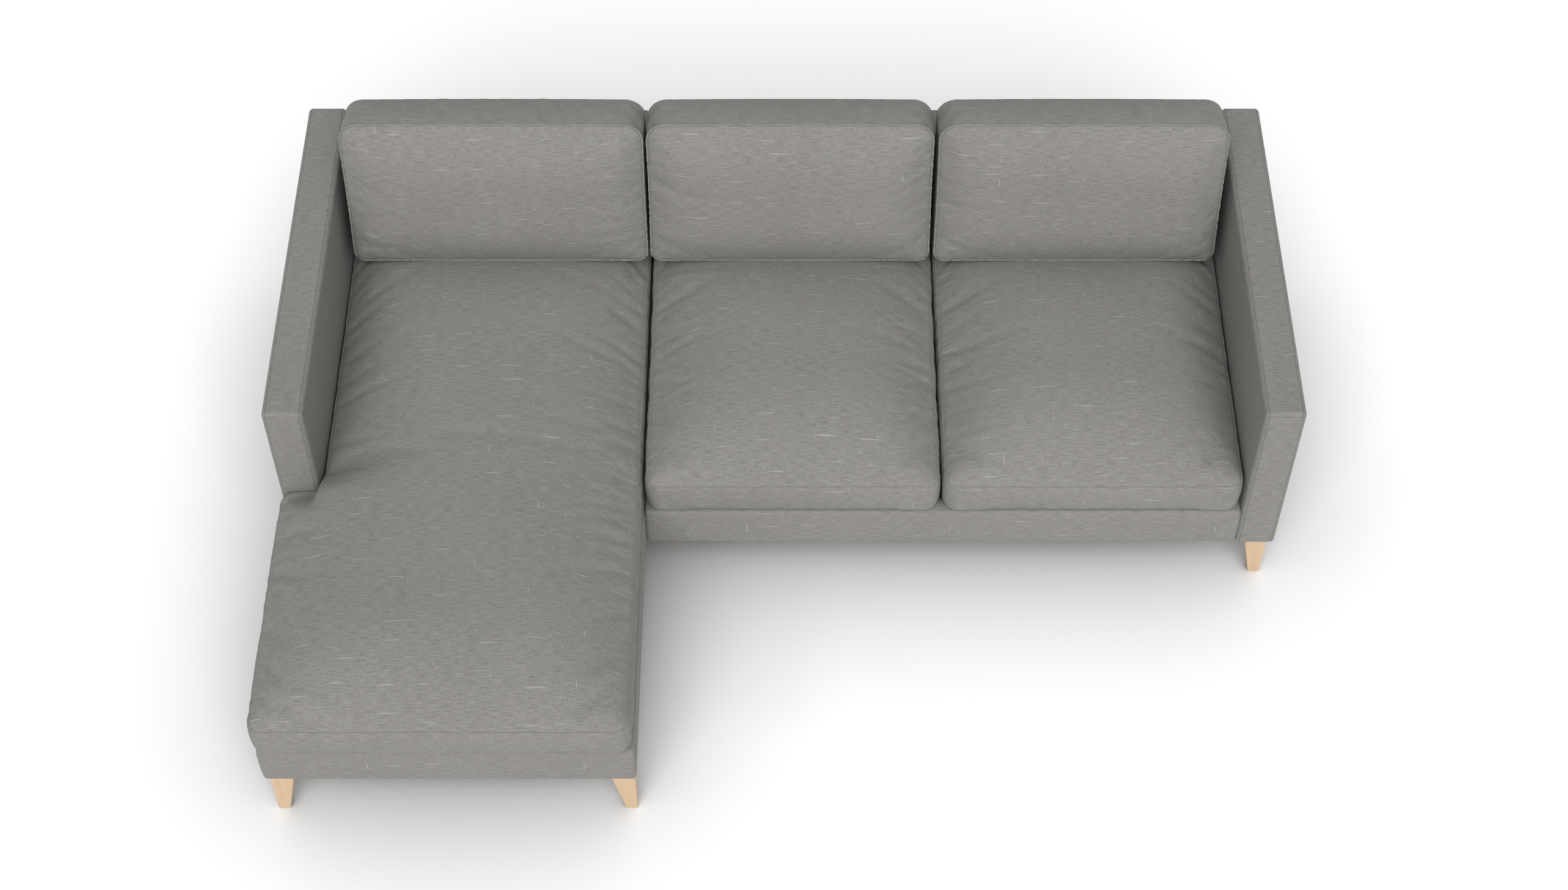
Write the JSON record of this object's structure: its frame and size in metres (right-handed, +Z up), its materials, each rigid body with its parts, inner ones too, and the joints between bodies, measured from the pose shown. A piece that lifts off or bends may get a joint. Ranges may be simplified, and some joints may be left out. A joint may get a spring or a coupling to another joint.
{
  "type": "sectional sofa with chaise",
  "caption": "Upholstered sectional sofa with a chaise on the left, loose crowned seat and back cushions, slab arms and tapered wooden legs.",
  "frame": {"origin": "on the floor, under the middle of the sofa's whole footprint", "axes": "+X to the right seen from the front, +Y to the back, +Z up"},
  "size_m": [2.27, 1.576, 0.8019],
  "materials": {
    "board": "hardboard",
    "foam": "open-cell foam",
    "leg_wood": "light wood, satin lacquer",
    "lining": "non-woven lining",
    "seat_cloth": "woven slub cloth",
    "steel": "zinc plated",
    "timber": "planed softwood",
    "webbing": "woven elastic webbing"
  },
  "bodies": {
    "frame": {"chaise_arm_rail": "timber", "chaise_base_cover": "seat_cloth", "chaise_cross_rail": "timber", "chaise_dust_cover": "lining", "chaise_front_left_leg": "leg_wood", "chaise_front_rail": "timber", "chaise_front_right_leg": "leg_wood", "chaise_inner_rail": "timber", "chaise_platform_cloth": "lining", "chaise_rear_leg": "leg_wood", "chaise_rear_rail": "timber", "chaise_side_rail": "timber", "chaise_webbing": "webbing", "corner_blocks": "timber", "left_arm_boards": "board", "left_arm_cover": "seat_cloth", "left_arm_frame": "timber", "left_back_boards": "board", "left_back_cover": "seat_cloth", "left_back_frame": "timber", "leg_studs": "steel", "link_channels": "steel", "link_tongues": "steel", "right_arm_boards": "board", "right_arm_cover": "seat_cloth", "right_arm_frame": "timber", "right_back_boards": "board", "right_back_cover": "seat_cloth", "right_back_frame": "timber", "seat_arm_rail": "timber", "seat_base_cover": "seat_cloth", "seat_dust_cover": "lining", "seat_front_leg": "leg_wood", "seat_front_rail": "timber", "seat_left_rail": "timber", "seat_platform_cloth": "lining", "seat_rear_leg": "leg_wood", "seat_rear_rail": "timber", "seat_webbing": "webbing", "support_legs": "leg_wood"},
    "chaise_pad": {"chaise_pad_cover": "seat_cloth", "chaise_pad_foam": "foam"},
    "middle_seat": {"middle_seat_cover": "seat_cloth", "middle_seat_foam": "foam"},
    "right_seat": {"right_seat_cover": "seat_cloth", "right_seat_foam": "foam"},
    "left_back_cushion": {"left_back_cushion_cover": "seat_cloth", "left_back_cushion_foam": "foam"},
    "middle_back_cushion": {"middle_back_cushion_cover": "seat_cloth", "middle_back_cushion_foam": "foam"},
    "right_back_cushion": {"right_back_cushion_cover": "seat_cloth", "right_back_cushion_foam": "foam"}
  },
  "joints": [
    {"name": "chaise_pad_slide", "type": "slide", "parent": "frame", "child": "chaise_pad", "axis": [0, -1, 0], "range_m": [0, 1.5]},
    {"name": "middle_seat_slide", "type": "slide", "parent": "frame", "child": "middle_seat", "axis": [0, -1, 0], "range_m": [0, 0.9]},
    {"name": "right_seat_slide", "type": "slide", "parent": "frame", "child": "right_seat", "axis": [0, -1, 0], "range_m": [0, 0.9]},
    {"name": "left_back_lift", "type": "slide", "parent": "frame", "child": "left_back_cushion", "axis": [0, 0, 1], "range_m": [0, 0.4]},
    {"name": "middle_back_lift", "type": "slide", "parent": "frame", "child": "middle_back_cushion", "axis": [0, 0, 1], "range_m": [0, 0.4]},
    {"name": "right_back_lift", "type": "slide", "parent": "frame", "child": "right_back_cushion", "axis": [0, 0, 1], "range_m": [0, 0.4]}
  ]
}
